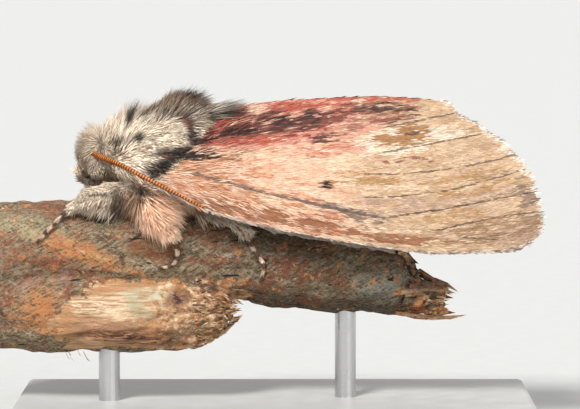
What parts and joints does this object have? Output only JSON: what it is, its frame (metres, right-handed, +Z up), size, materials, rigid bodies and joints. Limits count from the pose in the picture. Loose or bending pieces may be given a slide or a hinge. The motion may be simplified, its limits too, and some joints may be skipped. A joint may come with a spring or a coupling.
{
  "type": "moth figure",
  "caption": "Life-size resting moth with folded roof-like wings, standing on a cut length of forked twig held over a flat display base by short rods.",
  "frame": {"origin": "middle of the display base's underside", "axes": "+Z up, the moth's head towards -X, its left side towards -Y"},
  "size_m": [0.024, 0.013, 0.0141],
  "materials": {
    "fur": "whitish-grey scale hair, matt",
    "leg_fur": "grey and pinkish-tan scale hair, matt",
    "shin": "dark brown with pale bands, matt",
    "wing": "overlapping wing scales, matt with a faint sheen",
    "hindwing": "plain grey-brown wing scales, matt",
    "antenna": "orange-brown, satin",
    "eye": "glossy grey-black",
    "bark": "rough dry bark and torn pale wood",
    "stand_plate": "plain pale satin",
    "stand_metal": "brushed"
  },
  "bodies": {
    "root": {"thorax": "fur", "abdomen": "fur", "head": "fur", "palp_l": "fur", "palp_r": "fur", "leg_front_l": "leg_fur", "foot_front_l": "shin", "leg_mid_l": "leg_fur", "foot_mid_l": "shin", "leg_hind_l": "leg_fur", "foot_hind_l": "shin", "forewing_l": "wing", "hindwing_l": "hindwing", "antenna_l": "antenna", "eye_l": "eye", "leg_front_r": "leg_fur", "foot_front_r": "shin", "leg_mid_r": "leg_fur", "foot_mid_r": "shin", "leg_hind_r": "leg_fur", "foot_hind_r": "shin", "forewing_r": "wing", "hindwing_r": "hindwing", "antenna_r": "antenna", "eye_r": "eye", "perch": "bark", "stand_base": "stand_plate", "stand_rod_front": "stand_metal", "stand_rod_rear": "stand_metal"}
  },
  "joints": []
}
